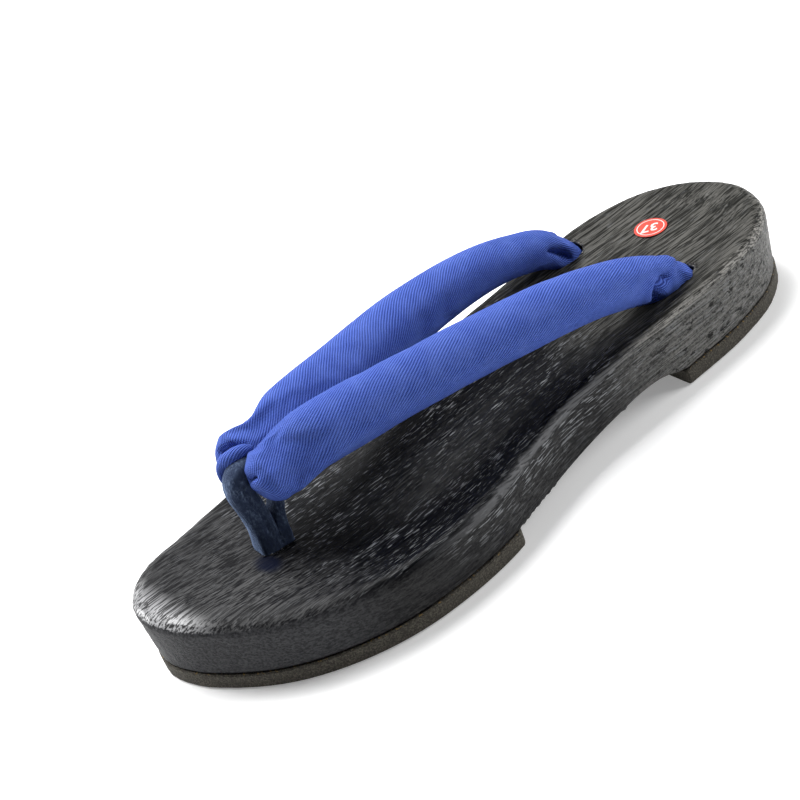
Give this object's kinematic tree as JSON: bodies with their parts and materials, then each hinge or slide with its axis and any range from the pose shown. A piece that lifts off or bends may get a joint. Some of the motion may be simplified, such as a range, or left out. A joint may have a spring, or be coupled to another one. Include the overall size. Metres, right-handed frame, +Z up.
{
  "type": "geta sandal",
  "caption": "Black wooden clog sandal of the geta kind with a dished footbed, rubber pads, a padded V-shaped cloth strap and a toe loop; left shoe.",
  "frame": {"origin": "middle of the bounding box, on the floor", "axes": "+Y from the toe to the heel along the shoe, +Z up, +X towards the outer side of the left foot"},
  "size_m": [0.0876, 0.2482, 0.0601],
  "materials": {
    "black_wood": "black lacquer over brushed grain, satin to glossy",
    "black_rubber": "matte, fine grained",
    "blue_cloth": "royal blue cotton twill over padding",
    "navy_suede": "navy suede, napped",
    "red_paper": "printed paper sticker"
  },
  "bodies": {
    "root": {"wood_base": "black_wood", "fore_rubber_sole": "black_rubber", "heel_rubber_sole": "black_rubber", "strap": "blue_cloth", "toe_loop": "navy_suede", "size_sticker": "red_paper"}
  },
  "joints": []
}
